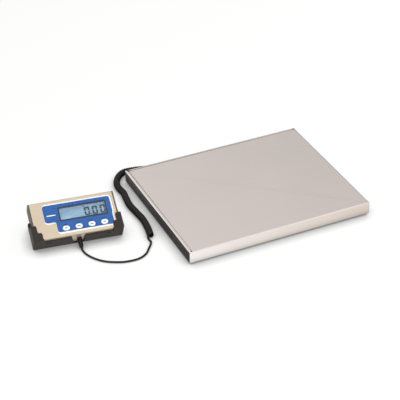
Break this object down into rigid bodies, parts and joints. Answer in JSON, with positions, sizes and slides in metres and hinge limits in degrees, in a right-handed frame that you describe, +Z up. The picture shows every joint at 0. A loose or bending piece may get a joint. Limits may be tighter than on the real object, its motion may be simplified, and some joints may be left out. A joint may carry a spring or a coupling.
{
  "type": "platform shipping scale",
  "caption": "Low stainless steel weighing platform with a separate display unit leaning in a cradle, joined by a part-curled black cord.",
  "frame": {"origin": "on the floor under the middle of the box that the platform and the indicator in its bracket fill, without the cord", "axes": "+X along the platform's long side away from the indicator, +Y towards the back, where the cord leaves, +Z up"},
  "size_m": [0.6275, 0.3379, 0.0654],
  "materials": {
    "stainless": "brushed stainless steel",
    "zinc_steel": "zinc plated steel",
    "frame_paint": "dark powder coat",
    "cell_alloy": "machined aluminium",
    "foot_rubber": "matt rubber",
    "board": "green circuit board",
    "white_plastic": "white plastic",
    "terminal": "green terminal block",
    "lead_plastic": "grey lead",
    "cord_black": "black cord",
    "black_plastic": "black plastic",
    "bracket_plastic": "grained brown-black plastic",
    "champagne": "champagne satin",
    "cap_plastic": "brown-grey plastic",
    "overlay_blue": "blue printed film",
    "window": "clear window",
    "lcd": "display glass",
    "battery_case": "printed battery case"
  },
  "bodies": {
    "base": {"base_frame": "frame_paint", "feet": "foot_rubber", "foot_screws": "zinc_steel", "foot_nuts": "zinc_steel", "load_cell_front_left": "cell_alloy", "load_cell_front_right": "cell_alloy", "load_cell_back_left": "cell_alloy", "load_cell_back_right": "cell_alloy", "cell_spacers": "zinc_steel", "cell_screws": "zinc_steel", "junction_board": "board", "board_spacers": "white_plastic", "terminal_blocks": "terminal", "cell_leads": "lead_plastic", "cord_gland": "black_plastic", "gland_nut": "black_plastic", "cord_lead": "cord_black", "cord_coil": "cord_black", "cord_tail": "cord_black", "bracket": "bracket_plastic", "stand_pins": "zinc_steel"},
    "platter": {"platter": "stainless", "platter_stiffeners": "zinc_steel", "load_studs": "zinc_steel", "stud_nuts": "zinc_steel"},
    "indicator": {"front_shell": "champagne", "back_shell": "champagne", "end_cap_left": "cap_plastic", "end_cap_right": "cap_plastic", "end_cap_screws": "zinc_steel", "overlay": "overlay_blue", "lens": "window", "lcd": "lcd", "backlight": "white_plastic", "main_board": "board", "board_posts": "champagne", "dome_switches": "white_plastic", "buzzer": "black_plastic", "battery": "battery_case", "battery_snap": "black_plastic", "power_socket": "black_plastic", "cord_boot": "black_plastic"},
    "battery_door": {"battery_door": "champagne"},
    "stand": {"stand": "black_plastic"},
    "key_1": {"key_1": "white_plastic"},
    "key_2": {"key_2": "white_plastic"},
    "key_3": {"key_3": "white_plastic"},
    "key_4": {"key_4": "white_plastic"}
  },
  "joints": [
    {"name": "platter_sink", "type": "slide", "parent": "base", "child": "platter", "axis": [0, 0, -1], "range_m": [0, 0.0008], "stiffness_N_per_m": 900000},
    {"name": "stand_fold", "type": "hinge", "parent": "base", "child": "stand", "pos_m": [-0.22017, 0.04219, 0.01448], "axis": [-0.9893, 0.1456, 0], "range_deg": [0, 130]},
    {"name": "indicator_lift_out", "type": "slide", "parent": "base", "child": "indicator", "axis": [0.1285, 0.8735, 0.4695], "range_m": [0, 0.045]},
    {"name": "battery_door_slide", "type": "slide", "parent": "indicator", "child": "battery_door", "axis": [0.1285, 0.8735, 0.4695], "range_m": [0, 0.03]},
    {"name": "key_1_press", "type": "slide", "parent": "indicator", "child": "key_1", "axis": [0.0683, 0.4645, -0.8829], "range_m": [0, 0.0007], "stiffness_N_per_m": 2000},
    {"name": "key_2_press", "type": "slide", "parent": "indicator", "child": "key_2", "axis": [0.0683, 0.4645, -0.8829], "range_m": [0, 0.0007], "stiffness_N_per_m": 2000},
    {"name": "key_3_press", "type": "slide", "parent": "indicator", "child": "key_3", "axis": [0.0683, 0.4645, -0.8829], "range_m": [0, 0.0007], "stiffness_N_per_m": 2000},
    {"name": "key_4_press", "type": "slide", "parent": "indicator", "child": "key_4", "axis": [0.0683, 0.4645, -0.8829], "range_m": [0, 0.0007], "stiffness_N_per_m": 2000}
  ]
}
